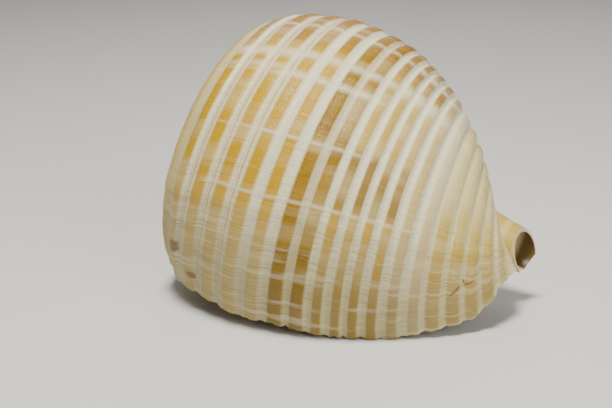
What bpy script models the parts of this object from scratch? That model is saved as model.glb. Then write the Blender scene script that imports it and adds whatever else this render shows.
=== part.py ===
"""A tun shell at rest, aperture down: one solid, grown along a spiral that widens with each turn."""

import math

import bmesh
import bpy
from mathutils import Matrix, Vector

MM = 0.001

# Growth. Every size of the whorl shrinks towards the pole of the spire by the same share of a turn.
LIP_ANGLE = 48.0
BODY_EXPANSION = 1.708
SPIRE_EXPANSION = 2.4
SPIRE_STARTS = 0.62

# The whorl's outline at the lip, through the rib crests: distance from the axis and distance below the pole.
OUTLINE = [
    (17.0, 25.0), (22.0, 18.5), (27.0, 13.6), (31.0, 11.0), (36.0, 11.1), (40.7, 13.8),
    (45.1, 19.7), (48.2, 26.7), (51.4, 41.3), (50.9, 55.6), (48.5, 66.0), (42.7, 77.9),
    (36.5, 86.6), (28.8, 95.0), (20.0, 101.3), (15.0, 103.8), (11.0, 105.4), (7.5, 106.4),
]
FIRST_RIB = 5
AXIS_GAP = 1.0
LIP_BAND = 0.15
END_SHRINK = 0.05
END_PAST = 0.004

# Ribs: how many, how high, and the spacing of their crests from the shoulder down, as (rib, spacing).
RIBS = 19
RIB_RELIEF = 0.9
RIB_SPACING = [(0, 7.5), (4, 7.45), (5, 6.9), (6, 5.7), (9, 4.25), (12, 5.6), (18, 5.5)]
CREST_HALF = 0.27

# How far each part of the lip is set back from LIP_ANGLE, in degrees, from the suture to the spout.
LIP_SETBACK = [(0.0, -24.0), (0.2, -22.0), (0.26, -18.5), (0.31, -12.5), (0.36, -8.5), (0.46, -5.0),
               (0.55, -1.5), (0.72, -1.5), (0.8, 1.0), (0.87, 3.5), (0.91, 7.5), (0.95, 20.0), (1.0, 30.0)]
SETBACK_FADES = 0.4

# The hollow: its wall, the thin glaze on the whorl before, the columella's radius and height, and the canal
# beside it that leads to the spout. The shares say which part of the outline each wall follows.
WALL = 1.5
GLAZE = 0.6
COLUMELLA = 6.5
COLUMELLA_SPAN = (66.0, 82.0)
CANAL_RADIUS = 1.2
CANAL_TOP = 90.0
OUTER_WALL = (0.125, 0.95)
INNER_WALL = (0.945, 0.31)

# The siphonal spout: a cone that leaves the base beside the axis, its bore, the slant of its rim,
# as rise per millimetre towards +X and -Y, and the slot in its lower side.
SPOUT_OFFSET = 3.2
SPOUT_TOP = 68.0
SPOUT_END = 99.9
SPOUT_END_RADIUS = 5.0
SPOUT_FLARE = 0.13
BORE_RADIUS = 4.0
BORE_TOP = 74.0
RIM_SLANT = (0.43, 0.38)
SLOT_WIDTH = 7.0
SLOT_TOP = 84.0
SLOT_ANGLE = -34.0

# The pose at rest: the axis above the table, the turn about it, and the pole's place.
AXIS_TILT = 17.05
AXIS_ROLL = -163.44
POLE = (-49.0, 5.84, 41.35)

# Facets. The whorl is joined from stretches of under half a turn: (first turn, last turn, steps in a turn,
# whether it is ribbed). Every second stretch is a hair smaller and runs a step into both its neighbours.
STRETCHES = [
    (0.0, 0.5, 36, True), (0.5, 0.96, 36, True), (0.96, 1.44, 22, True), (1.44, 1.9, 22, True),
    (1.9, 2.4, 12, False), (2.4, 2.9, 12, False), (2.9, 3.4, 12, False), (3.4, 3.9, 10, False),
    (3.9, 4.35, 10, False), (4.35, 4.6, 10, False),
]
HAIR = 0.12
PLAIN_SHARE = 0.62
HOLLOW_START = -0.09
HOLLOW_END = 1.35
HOLLOW_STEPS = 25
ROUND_SIDES = 20


def blend(knots, value):
    """Straight-line interpolation in a list of (place, value)."""
    for (x0, y0), (x1, y1) in zip(knots, knots[1:]):
        if value <= x1:
            return y0 + (y1 - y0) * max(0.0, value - x0) / (x1 - x0)
    return knots[-1][1]


def spline_point(knots, index, t):
    """A point of the Catmull-Rom curve through the knots, between knot index and the next."""
    last = len(knots) - 1
    p0, p1, p2, p3 = (Vector(knots[min(max(index + k, 0), last)]) for k in (-1, 0, 1, 2))
    a = 2 * p1
    b = p2 - p0
    c = 2 * p0 - 5 * p1 + 4 * p2 - p3
    d = 3 * (p1 - p2) + p3 - p0
    return (a + b * t + c * t * t + d * t * t * t) / 2


class Outline:
    """The smooth outline, measured along its length in millimetres."""

    def __init__(self, knots, parts=12):
        spans = range(len(knots) - 1)
        self.points = [spline_point(knots, i, k / parts) for i in spans for k in range(parts)]
        self.points.append(Vector(knots[-1]))
        self.lengths = [0.0]
        for p, q in zip(self.points, self.points[1:]):
            self.lengths.append(self.lengths[-1] + (q - p).length)
        self.total = self.lengths[-1]
        self.knot_lengths = self.lengths[::parts]

    def at(self, length):
        """(point, outward normal) at this length."""
        i = 0
        while i < len(self.points) - 2 and self.lengths[i + 1] < length:
            i += 1
        p, q = self.points[i], self.points[i + 1]
        t = (length - self.lengths[i]) / (self.lengths[i + 1] - self.lengths[i])
        along = (q - p).normalized()
        return p.lerp(q, t), Vector((along.y, -along.x))


def scale_at(turn):
    """The size of everything at this many turns behind the lip, as a share of its size at the lip."""
    late = max(0.0, turn - SPIRE_STARTS)
    slow = math.log(BODY_EXPANSION)
    fast = math.log(SPIRE_EXPANSION)
    return math.exp(-slow * turn - (fast - slow) * late * late / (late + 1.0))


def place(point, turn):
    """A point of the outline's plane, carried back along the spiral. The pole is the origin, the axis is Z."""
    angle = math.radians(LIP_ANGLE + 360.0 * turn)
    size = scale_at(turn) * MM
    return Vector((size * point[0] * math.cos(angle), size * point[0] * math.sin(angle), -size * point[1]))


def rib_lengths(outline):
    """Where each rib's crest lies along the outline, from the shoulder to the spout."""
    lengths = [outline.knot_lengths[FIRST_RIB]]
    for rib in range(RIBS - 1):
        lengths.append(lengths[-1] + blend(RIB_SPACING, rib))
    return lengths


def ribbed_profile(outline, inset):
    """The whorl's closed section with its ribs, as (point, share of the outline's length)."""
    lengths = rib_lengths(outline)
    corners = [(outline.total * k / 40.0, 0.0) for k in (0, 2.5, 4.5, 6.0)]
    for rib, middle in enumerate(lengths):
        pitch = blend(RIB_SPACING, rib)
        if rib == 0:
            corners.append((middle - pitch * 0.5, -RIB_RELIEF * 0.6))
        corners.append((middle - pitch * CREST_HALF, 0.0))
        corners.append((middle + pitch * CREST_HALF, 0.0))
        if rib < RIBS - 1:
            corners.append(((middle + lengths[rib + 1]) / 2, -RIB_RELIEF))
    corners.append((outline.total * 0.985, -RIB_RELIEF * 0.5))
    corners.append((outline.total, 0.0))
    profile = []
    for length, height in corners:
        point, normal = outline.at(length)
        profile.append((point + normal * (height - inset), length / outline.total))
    end = profile[-1][0]
    profile.append((Vector((AXIS_GAP * 3, end.y - 2.0)), 1.0))
    profile.append((Vector((AXIS_GAP, end.y - 8.0)), 1.0))
    profile.append((Vector((AXIS_GAP, profile[0][0].y + 8.0)), 0.0))
    return profile


def plain_profile(outline, inset, points=9):
    """The section of the early whorls, whose ribs are too low to show. The next whorl covers their base."""
    lengths = [outline.total * PLAIN_SHARE * k / points for k in range(points + 1)]
    profile = []
    for length in lengths:
        point, normal = outline.at(length)
        profile.append(point - normal * (RIB_RELIEF / 2 + inset))
    profile.append(Vector((AXIS_GAP * 4, profile[-1].y + 14.0)))
    profile.append(Vector((AXIS_GAP * 4, profile[0].y)))
    return [(point, 0.0) for point in profile]


def hollow_profile(outline, outer_points=12, inner_points=7):
    """The section of the space inside: outer wall, canal, columella, and the whorl before."""
    profile = []
    for k in range(outer_points):
        share = OUTER_WALL[0] + (OUTER_WALL[1] - OUTER_WALL[0]) * k / (outer_points - 1)
        point, normal = outline.at(outline.total * share)
        profile.append(point - normal * (WALL + RIB_RELIEF))
    reach = profile[-1].y
    columella_top, columella_end = COLUMELLA_SPAN
    profile += [Vector((8.0, reach + 0.6)), Vector((3.0, reach)), Vector((CANAL_RADIUS, reach - 3.0))]
    profile += [Vector((CANAL_RADIUS, CANAL_TOP)), Vector((COLUMELLA, columella_end))]
    profile.append(Vector((COLUMELLA, columella_top)))
    for k in range(inner_points):
        share = INNER_WALL[0] + (INNER_WALL[1] - INNER_WALL[0]) * k / (inner_points - 1)
        point, normal = outline.at(outline.total * share)
        profile.append(point / BODY_EXPANSION + normal * GLAZE)
    return [(point, 0.0) for point in profile]


def new_object(name, bm, collection):
    """A mesh object with its faces pointing out."""
    bmesh.ops.recalc_face_normals(bm, faces=bm.faces)
    mesh = bpy.data.meshes.new(name)
    bm.to_mesh(mesh)
    bm.free()
    obj = bpy.data.objects.new(name, mesh)
    collection.objects.link(obj)
    return obj


def bridge(bm, ring, following):
    """Quads between two rings of as many points."""
    count = len(ring)
    for k in range(count):
        after = (k + 1) % count
        bm.faces.new((ring[k], ring[after], following[after], following[k]))


def close_end(bm, section, points, shrink, past):
    """Caps a section: a band drawn in towards its middle and a little along the spiral, then a fan."""
    ring, turns = section
    middle = sum(points, Vector((0.0, 0.0))) / len(points)
    inner = [bm.verts.new(place(p.lerp(middle, shrink), t + past)) for p, t in zip(points, turns)]
    bridge(bm, inner, ring)
    centre = bm.verts.new(place(middle, sum(turns) / len(turns) + 2 * past))
    for k, vert in enumerate(inner):
        bm.faces.new((vert, inner[k - 1], centre))


def steps(start, end, per_turn):
    """Evenly spaced turns from start to end."""
    count = max(1, round((end - start) * per_turn))
    return [start + (end - start) * k / count for k in range(count + 1)]


def sweep(name, profile, turns, collection, setback=None, hollow=False):
    """A closed section swept along the spiral. Setback shapes the lip and fades out behind it."""
    points = [point for point, _ in profile]
    bm = bmesh.new()
    rings = []
    for turn in turns:
        fade = max(0.0, 1.0 - turn / SETBACK_FADES) ** 2
        placed = [turn + (fade * blend(setback, share) / 360.0 if setback else 0.0) for _, share in profile]
        rings.append(([bm.verts.new(place(p, t)) for p, t in zip(points, placed)], placed))
    for (ring, _), (following, _) in zip(rings, rings[1:]):
        bridge(bm, ring, following)
    if hollow:
        bm.faces.new(rings[0][0])
        bm.faces.new(rings[-1][0])
    else:
        close_end(bm, rings[0], points, LIP_BAND if setback else END_SHRINK, 0.0 if setback else -END_PAST)
        close_end(bm, rings[-1], points, END_SHRINK, END_PAST)
    return new_object(name, bm, collection)


def cone(name, top, end, top_radius, end_radius, offset, collection):
    """A straight cone beside the axis, from one distance below the pole to another."""
    bm = bmesh.new()
    bmesh.ops.create_cone(bm, cap_ends=True, segments=ROUND_SIDES, radius1=end_radius * MM,
                          radius2=top_radius * MM, depth=(end - top) * MM)
    middle = Matrix.Translation((-offset * MM, 0.0, -(top + end) / 2 * MM))
    bmesh.ops.transform(bm, matrix=middle, verts=bm.verts)
    return new_object(name, bm, collection)


def box(name, low, high, turn, collection):
    """A block between two corners, turned about the axis."""
    bm = bmesh.new()
    bmesh.ops.create_cube(bm, size=1.0)
    size = Vector(high) - Vector(low)
    middle = (Vector(high) + Vector(low)) / 2
    fit = Matrix.Translation(middle * MM) @ Matrix.Diagonal((*(size * MM), 1.0))
    bmesh.ops.transform(bm, matrix=Matrix.Rotation(math.radians(turn), 4, "Z") @ fit, verts=bm.verts)
    return new_object(name, bm, collection)


def joined_stretches(outline, parts, helpers):
    """The whorl's stretches. The first one has the lip and becomes the shell."""
    made = []
    for index, (start, end, per_turn, ribbed) in enumerate(STRETCHES):
        small = index % 2 == 1
        turns = steps(start, end, per_turn)
        if small:
            before = STRETCHES[index - 1]
            turns.insert(0, steps(*before[:3])[-2])
            if index + 1 < len(STRETCHES):
                turns.append(steps(*STRETCHES[index + 1][:3])[1])
        inset = HAIR / scale_at(start) if small else 0.0
        profile = ribbed_profile(outline, inset) if ribbed else plain_profile(outline, inset)
        name = f"whorl_{index}" if index else "shell"
        made.append(sweep(name, profile, turns, helpers if index else parts, None if index else LIP_SETBACK))
    return made


def spout_parts(helpers):
    """The spout's cone, and the bore, trim and slot that open it."""
    flare = SPOUT_FLARE * (SPOUT_END - SPOUT_TOP)
    beyond = 8.0
    horn = cone("spout_cone", SPOUT_TOP, SPOUT_END + beyond, SPOUT_END_RADIUS + flare,
                SPOUT_END_RADIUS - SPOUT_FLARE * beyond, SPOUT_OFFSET, helpers)
    bore = cone("spout_bore", BORE_TOP, SPOUT_END + 2 * beyond, BORE_RADIUS + 0.8, BORE_RADIUS - 0.6,
                SPOUT_OFFSET, helpers)
    trim = box("spout_trim", (-60.0, -60.0, -5 * beyond), (60.0, 60.0, 0.0), 0.0, helpers)
    across, away = RIM_SLANT
    slant = Matrix(((1, 0, 0, 0), (0, 1, 0, 0), (-across, away, 1, 0), (0, 0, 0, 1)))
    trim.data.transform(Matrix.Translation((-SPOUT_OFFSET * MM, 0.0, -SPOUT_END * MM)) @ slant)
    slot = box("spout_slot", (-SPOUT_OFFSET, -SLOT_WIDTH / 2, -SPOUT_END - beyond),
               (14.0, SLOT_WIDTH / 2, -SLOT_TOP), SLOT_ANGLE, helpers)
    return horn, [bore, trim, slot]


def boolean(obj, operation, other):
    """A live Boolean. All the pieces are closed and clear of themselves, which the manifold solver needs."""
    modifier = obj.modifiers.new(other.name, "BOOLEAN")
    modifier.operation = operation
    modifier.object = other
    modifier.solver = "MANIFOLD"


def merge(obj, helpers):
    """Makes the joined and cut shape the object's own mesh, and removes the helpers."""
    bpy.context.view_layer.update()
    evaluated = obj.evaluated_get(bpy.context.evaluated_depsgraph_get())
    merged = bpy.data.meshes.new_from_object(evaluated)
    obj.modifiers.clear()
    obj.data = merged
    for helper in list(helpers.objects):
        bpy.data.objects.remove(helper)


def material(name, colour, roughness):
    finish = bpy.data.materials.new(name)
    finish.use_nodes = True
    shader = finish.node_tree.nodes["Principled BSDF"]
    shader.inputs["Base Color"].default_value = (*colour, 1.0)
    shader.inputs["Roughness"].default_value = roughness
    shader.inputs["Metallic"].default_value = 0.0
    return finish


def main():
    for old in list(bpy.data.objects):
        bpy.data.objects.remove(old)
    parts = bpy.data.collections.new("tun_shell")
    helpers = bpy.data.collections.new("cutters")
    for collection in (parts, helpers):
        bpy.context.scene.collection.children.link(collection)

    outline = Outline(OUTLINE)
    shell, *whorls = joined_stretches(outline, parts, helpers)
    hollow_turns = steps(HOLLOW_START, HOLLOW_END, HOLLOW_STEPS)
    hollow = sweep("hollow", hollow_profile(outline), hollow_turns, helpers, hollow=True)
    pillar = cone("pillar", 5.0, 96.0, 3.0, 4.0, 0.0, helpers)
    horn, spout_cutters = spout_parts(helpers)
    for solid in (*whorls, pillar, horn):
        boolean(shell, "UNION", solid)
    for cutter in (hollow, *spout_cutters):
        boolean(shell, "DIFFERENCE", cutter)
    merge(shell, helpers)

    tilt = Matrix.Rotation(math.radians(AXIS_TILT - 90.0), 4, "Y")
    roll = Matrix.Rotation(math.radians(AXIS_ROLL), 4, "Z")
    shell.matrix_world = Matrix.Translation(Vector(POLE) * MM) @ tilt @ roll
    table = box("table", (-150.0, -150.0, -60.0), (150.0, 150.0, 0.0), 0.0, helpers)
    table.hide_render = True
    table.display_type = "WIRE"
    boolean(shell, "DIFFERENCE", table)
    shell.data.materials.append(material("shell_ochre", (0.62, 0.42, 0.19), 0.4))


main()
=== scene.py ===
# %% [markdown]
# # A tun shell, grown by extrude, turn and shrink
# A tun shell is one piece: a thin tube that widens as it winds round an axis. Every new whorl is a
# larger copy of the one before, so the whole shell follows from one section and one rule of growth.
# This lesson draws that section, grows it with three mesh operators, hollows it with Booleans, and
# then paints it with materials that read two coordinates of the shell: turns behind the lip, and
# ribs counted from the shoulder to the spout.

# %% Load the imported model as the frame
import math

import bpy
import numpy as np
from mathutils import Matrix, Vector


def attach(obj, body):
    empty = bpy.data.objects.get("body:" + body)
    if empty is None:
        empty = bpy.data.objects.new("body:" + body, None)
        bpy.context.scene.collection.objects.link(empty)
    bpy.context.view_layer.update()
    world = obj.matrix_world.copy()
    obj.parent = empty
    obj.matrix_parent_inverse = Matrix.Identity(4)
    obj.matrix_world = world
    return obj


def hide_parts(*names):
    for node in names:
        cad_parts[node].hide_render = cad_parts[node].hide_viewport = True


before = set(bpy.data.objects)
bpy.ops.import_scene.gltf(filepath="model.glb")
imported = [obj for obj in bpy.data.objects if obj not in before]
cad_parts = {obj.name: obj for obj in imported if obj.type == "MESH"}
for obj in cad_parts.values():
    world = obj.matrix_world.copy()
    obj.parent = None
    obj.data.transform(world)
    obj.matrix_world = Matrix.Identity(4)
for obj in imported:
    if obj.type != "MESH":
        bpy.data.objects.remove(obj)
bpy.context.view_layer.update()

MM = 0.001

# %% [markdown]
# ## The rule of growth
# Along the spiral every size shrinks towards the pole, the tip of the spire, by the same share of a
# turn. The body whorl is wide and the spire is low, so the early whorls shrink faster. One formula
# gives the size at any number of turns behind the lip.

# %% Growth
LIP_ANGLE = 48.0
BODY_EXPANSION = 1.708
SPIRE_EXPANSION = 2.4
SPIRE_STARTS = 0.62


def scale_at(turn):
    """Size at this many turns behind the lip, as a share of the size at the lip."""
    late = np.maximum(0.0, turn - SPIRE_STARTS)
    slow = math.log(BODY_EXPANSION)
    fast = math.log(SPIRE_EXPANSION)
    return np.exp(-slow * turn - (fast - slow) * late * late / (late + 1.0))


def place(points, turns):
    """Points of the section's plane (distance from the axis, distance below the pole, in mm) on the spiral."""
    angle = np.radians(LIP_ANGLE + 360.0 * turns)
    size = scale_at(turns) * MM
    return np.stack([size * points[:, 0] * np.cos(angle), size * points[:, 0] * np.sin(angle),
                     -size * points[:, 1]], axis=1)


print("size one turn behind the lip:", round(float(scale_at(np.array(1.0))), 3))

# %% [markdown]
# ## The outline and its ribs
# The outline of the body whorl runs from the suture over the shoulder and the belly to the spout. It
# could be a Bezier curve object, but a Catmull-Rom curve through a few measured points is as smooth
# and gives a length along it at once. The ribs ride on that length: nineteen broad low domes with
# narrower grooves between them. In the grooves next to the shoulder lies a fine second rib.

# %% Outline
OUTLINE = [
    (17.0, 25.0), (22.0, 18.5), (27.0, 13.6), (31.0, 11.0), (36.0, 11.1), (40.7, 13.8),
    (45.1, 19.7), (48.2, 26.7), (51.4, 41.3), (50.9, 55.6), (48.5, 66.0), (42.7, 77.9),
    (36.5, 86.6), (28.8, 95.0), (20.0, 101.3), (15.0, 103.8), (11.0, 105.4), (7.5, 106.4),
]
FIRST_RIB_KNOT = 5
KNOT_PARTS = 12
NORMAL_STEP = 0.3


def smooth_curve(knots, parts):
    """Points of the Catmull-Rom curve through the knots."""
    knots = np.array(knots)
    padded = np.vstack([knots[:1], knots, knots[-1:]])
    t = (np.arange(parts) / parts)[:, None]
    spans = []
    for p0, p1, p2, p3 in zip(padded, padded[1:], padded[2:], padded[3:]):
        spans.append((2 * p1 + (p2 - p0) * t + (2 * p0 - 5 * p1 + 4 * p2 - p3) * t**2
                      + (3 * (p1 - p2) + p3 - p0) * t**3) / 2)
    return np.vstack([*spans, knots[-1:]])


outline_points = smooth_curve(OUTLINE, KNOT_PARTS)
outline_steps = np.linalg.norm(np.diff(outline_points, axis=0), axis=1)
outline_lengths = np.concatenate([[0.0], np.cumsum(outline_steps)])
OUTLINE_TOTAL = outline_lengths[-1]


def points_at(lengths):
    return np.stack([np.interp(lengths, outline_lengths, outline_points[:, k]) for k in (0, 1)], axis=1)


def on_outline(lengths):
    """(points, outward normals) at these lengths along the outline."""
    along = points_at(lengths + NORMAL_STEP) - points_at(lengths - NORMAL_STEP)
    along /= np.linalg.norm(along, axis=1)[:, None]
    return points_at(lengths), np.stack([along[:, 1], -along[:, 0]], axis=1)


print("outline length:", round(OUTLINE_TOTAL, 1), "mm")

# %% Ribs
RIBS = 19
RIB_SPACING = [(0, 7.5), (4, 7.45), (5, 6.9), (6, 5.7), (9, 4.25), (12, 5.6), (18, 5.5)]
RIB_RELIEF = 0.9
SHOULDER_RIBS = 4
CREST_HALF = 0.3
CREST_DROP = 0.22
GROOVE_SIDE = (0.24, 0.44)
FINE_HEIGHT = 0.32
FINE_CENTRE = 0.56
FINE_HALF = 0.07

rib_numbers = np.arange(-SHOULDER_RIBS, RIBS + 1)
rib_pitches = np.interp(rib_numbers, *zip(*RIB_SPACING))
rib_lengths = np.cumsum(rib_pitches) - rib_pitches
rib_lengths += outline_lengths[FIRST_RIB_KNOT * KNOT_PARTS] - rib_lengths[SHOULDER_RIBS]


def smoothstep(low, high, value):
    t = np.clip((value - low) / (high - low), 0.0, 1.0)
    return t * t * (3.0 - 2.0 * t)


def relief(rib):
    """Height of the surface over the rib crests, in mm, at this rib number and fraction."""
    off = np.abs(rib - np.round(rib))
    strength = smoothstep(-3.5, 0.5, rib) * smoothstep(19.3, 18.2, rib)
    crown = CREST_DROP * np.minimum(off / CREST_HALF, 1.0)**2
    height = -RIB_RELIEF * strength * (crown + (1.0 - CREST_DROP) * smoothstep(*GROOVE_SIDE, off))
    fine = smoothstep(0.7, 1.3, rib) * smoothstep(3.95, 3.8, rib)
    middle = (rib - np.floor(rib) - FINE_CENTRE) / FINE_HALF
    return height + FINE_HEIGHT * fine * np.exp(-middle**2)


print("rib crests at", np.round(rib_lengths[SHOULDER_RIBS:SHOULDER_RIBS + RIBS], 1), "mm along the outline")

# %% [markdown]
# ## Growing a whorl with three operators
# On the real shell the edge of the mantle adds a little wall, a little larger and a little further
# round, again and again. In Blender that is extrude, rotate about the axis and resize about the pole.
# An Array modifier with an object offset would be quicker, but it can only repeat one fixed growth,
# and this spire shrinks faster than the body. The face that is extruded ends as a cap, so every
# stretch is a closed solid. Each ends in a slightly smaller ring that plunges into its neighbour.

# %% Mesh helpers
SLOTS = ["outside", "inside", "spout", "lip"]
OUTSIDE, INSIDE, SPOUT, LIP = range(len(SLOTS))


def coordinates(obj):
    co = np.empty(len(obj.data.vertices) * 3)
    obj.data.vertices.foreach_get("co", co)
    return co.reshape(-1, 3)


def set_coordinates(obj, co):
    obj.data.vertices.foreach_set("co", co.ravel())
    obj.data.update()


def give_slots(obj, slot_index):
    """Adds the empty material slots, and puts every face in one of them."""
    for _ in SLOTS:
        obj.data.materials.append(None)
    obj.data.polygons.foreach_set("material_index", [slot_index] * len(obj.data.polygons))


def write_growth_map(obj, turns, ribs):
    """The UV map that every material reads: turns behind the lip across, rib number up."""
    for spare in [layer for layer in obj.data.uv_layers if layer.name != "growth"]:
        obj.data.uv_layers.remove(spare)
    layer = obj.data.uv_layers.get("growth") or obj.data.uv_layers.new(name="growth")
    corners = np.empty(len(obj.data.loops), int)
    obj.data.loops.foreach_get("vertex_index", corners)
    layer.data.foreach_set("uv", np.stack([turns[corners], ribs[corners]], axis=1).ravel())


print("material slots:", SLOTS)

# %% Grow one stretch
def section_in_space(section, turn):
    return place(section, np.full(len(section), turn))


def resize_about(factor, centre):
    bpy.ops.transform.resize(value=(factor, factor, factor), center_override=centre)


def grow(name, section, ribs, rings, slot_index):
    """A closed solid swept along the spiral. Rings are (turn, share of the section's size)."""
    bpy.ops.object.select_all(action="DESELECT")
    bpy.ops.mesh.primitive_circle_add(vertices=len(section), fill_type="NGON")
    whorl = bpy.context.object
    whorl.name = name
    middle = section.mean(axis=0)[None, :]
    first_turn, first_size = rings[0]
    set_coordinates(whorl, section_in_space(middle + (section - middle) * first_size, first_turn))
    bpy.ops.object.mode_set(mode="EDIT")
    bpy.ops.mesh.select_all(action="SELECT")
    for (turn, size), (next_turn, next_size) in zip(rings, rings[1:]):
        bpy.ops.mesh.extrude_region_move()
        bpy.ops.transform.rotate(value=-math.tau * (next_turn - turn), orient_axis="Z",
                                 center_override=(0.0, 0.0, 0.0))
        resize_about(float(scale_at(next_turn) / scale_at(turn)), (0.0, 0.0, 0.0))
        if size != next_size:
            resize_about(next_size / size, section_in_space(middle, next_turn)[0])
    bpy.ops.object.mode_set(mode="OBJECT")
    write_growth_map(whorl, np.repeat([turn for turn, _ in rings], len(section)), np.tile(ribs, len(rings)))
    give_slots(whorl, slot_index)
    return whorl


print("size of the first step:", round(float(scale_at(1.0 / 360.0)), 5))

# %% Close the ends
def make_active(obj):
    bpy.ops.object.select_all(action="DESELECT")
    obj.select_set(True)
    bpy.context.view_layer.objects.active = obj


def close_ends(obj):
    """Turns each many-sided end into a fan, which stays sound when the lip is bent."""
    make_active(obj)
    bpy.ops.object.mode_set(mode="EDIT")
    bpy.ops.mesh.select_all(action="DESELECT")
    bpy.ops.mesh.select_face_by_sides(number=4, type="GREATER")
    bpy.ops.mesh.poke()
    bpy.ops.object.mode_set(mode="OBJECT")


print("ends are closed with fans")

# %% [markdown]
# ## The section of a whorl
# The section follows the ribs at eight points a rib, more where the fine second ribs lie, and closes
# along the axis. Sections of the spire need fewer points, because they are a quarter of the size.

# %% Whorl section
AXIS_GAP = 1.0
BASE_END_RIB = 19.35


def whorl_section(per_rib, inset):
    """(section in mm, rib number of each point) for one turn of the shell."""
    ribs = np.arange(-SHOULDER_RIBS * per_rib, BASE_END_RIB * per_rib) / per_rib
    fine = np.arange(1.0, 4.0, 0.25 / per_rib * 2)
    ribs = np.unique(np.round(np.concatenate([ribs, fine if per_rib >= 8 else []]), 4))
    lengths = np.interp(ribs, rib_numbers, rib_lengths)
    lengths = np.clip(lengths + np.maximum(ribs - rib_numbers[-1], 0.0) * rib_pitches[-1], 0.0, OUTLINE_TOTAL)
    ribs = ribs[lengths < OUTLINE_TOTAL]
    lengths = lengths[lengths < OUTLINE_TOTAL]
    points, normals = on_outline(lengths)
    points = points + normals * (relief(ribs) - inset)[:, None]
    top, end = points[0], points[-1]
    inner = np.array([(3.0 * AXIS_GAP, end[1] - 2.0), (AXIS_GAP, end[1] - 8.0), (AXIS_GAP, top[1] + 8.0)])
    return np.vstack([points, inner]), np.concatenate([ribs, [ribs[-1], ribs[-1], ribs[0]]])


print("section of the body whorl:", len(whorl_section(8, 0.0)[0]), "points")

# %% Grow the body whorl and the spire
BAND = 0.85
PLUNGE = 0.95
PAST = 0.004
HAIR = 0.02
FULL = 1.0
CLOSEST_RINGS = 0.0006
# (first turn, last turn, degrees in a step) of each part of the body whorl, finest at the lip.
BODY_STEPS = [(0.0, 0.02, 0.5), (0.02, 0.36, 1.0), (0.36, 0.9, 2.3)]
SPIRE_STRETCHES = [(0.9, 1.8, 3.0), (1.8, 2.7, 5.0), (2.7, 3.6, 6.0), (3.6, 4.6, 8.0)]
# (age in turns, half width in turns, height in mm, first rib, last rib) of each growth ridge.
RIDGES = [(0.073, 0.0018, 0.10, 2.5, 6.0), (0.1125, 0.0026, 0.20, 2.5, 12.5), (0.1625, 0.0022, 0.13, 2.0, 7.5),
          (0.218, 0.0028, 0.18, 0.5, 8.0), (0.297, 0.004, 0.12, 2.0, 13.0), (0.452, 0.004, 0.16, 0.0, 14.0),
          (0.61, 0.005, 0.14, 1.0, 16.0), (0.768, 0.005, 0.16, 0.0, 12.0)]


def turns_between(first, last, degrees):
    return np.linspace(first, last, max(2, round((last - first) * 360.0 / degrees) + 1))


def body_rings():
    turns = [turns_between(*part) for part in BODY_STEPS]
    turns += [np.array([age - half, age, age + half]) for age, half, *_ in RIDGES]
    turns = np.unique(np.round(np.concatenate(turns), 5))
    turns = turns[np.concatenate([[True], np.diff(turns) > CLOSEST_RINGS])]
    rings = [(0.0, BAND)] + [(float(turn), FULL) for turn in turns]
    return rings + [(float(turns[-1]) + PAST, PLUNGE)]


def spire_rings(first, last, degrees):
    overlap = degrees / 360.0
    turns = turns_between(first - overlap, last + overlap, degrees)
    rings = [(float(turns[0]) - PAST, PLUNGE)] + [(float(turn), FULL) for turn in turns]
    return rings + [(float(turns[-1]) + PAST, PLUNGE)]


body_section, body_ribs = whorl_section(8, 0.0)
shell = grow("tun_shell", body_section, body_ribs, body_rings(), OUTSIDE)
stretches = {shell: (body_section, body_ribs, body_rings())}
for index, stretch in enumerate(SPIRE_STRETCHES):
    hair = HAIR / float(scale_at(stretch[0])) * (index % 2 == 0)
    section, ribs = whorl_section(8 if index == 0 else 4, hair)
    spire = grow(f"spire_{index}", section, ribs, spire_rings(*stretch), OUTSIDE)
    stretches[spire] = (section, ribs, spire_rings(*stretch))
print("body whorl:", len(shell.data.polygons), "faces")

# %% [markdown]
# ## Growth lines and the lip
# A growth line is an old edge of the lip, so the rings of the mesh should run as the lip does. The lip
# doesn't lie in one plane: it runs forward at the suture and is drawn back towards the spout, and
# further back on the whorl the lines settle into a steady slant. Shear can't do that, so the vertices
# are moved along the spiral in code. A few strong growth ridges are raised on the way, and the edge is
# finely chipped.

# %% Slant the growth lines
LIP_SETBACK = [(0.0, -24.0), (0.2, -22.0), (0.26, -18.5), (0.31, -12.5), (0.36, -8.5), (0.46, -5.0),
               (0.55, -1.5), (0.72, -1.5), (0.8, 1.0), (0.87, 3.5), (0.91, 11.5), (0.93, 19.0), (0.95, 25.0),
               (1.0, 36.0)]
SETBACK_FADES = 0.22
SLANT = 1.26
SLANT_RIB = 8.0


def share_of_rib(ribs):
    return np.interp(ribs, rib_numbers, rib_lengths) / OUTLINE_TOTAL


def setback(turns, ribs):
    """Degrees by which the growth line of this age lies behind its plane."""
    at_lip = np.interp(share_of_rib(ribs), *zip(*LIP_SETBACK))
    steady = SLANT * (ribs - SLANT_RIB)
    return at_lip + (steady - at_lip) * smoothstep(0.0, SETBACK_FADES, turns)


print("lip set back, shoulder to base:", setback(0.0, np.array([0.0, 8.0, 19.0])).round(1), "degrees")

# %% Chips and undulations
CHIP_DEPTH = 0.5
CHIP_FADES = 0.012
CHIP_SEED = 7
BITE_STEP = 0.13
UNEVEN_STEP = 0.7
WAVE_SEED = 3
WAVE_STEP = 0.011
WAVE_HEIGHT = 0.07
LIP_FLATTENS = 0.4
LIP_FLAT_ENDS = 0.06


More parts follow.
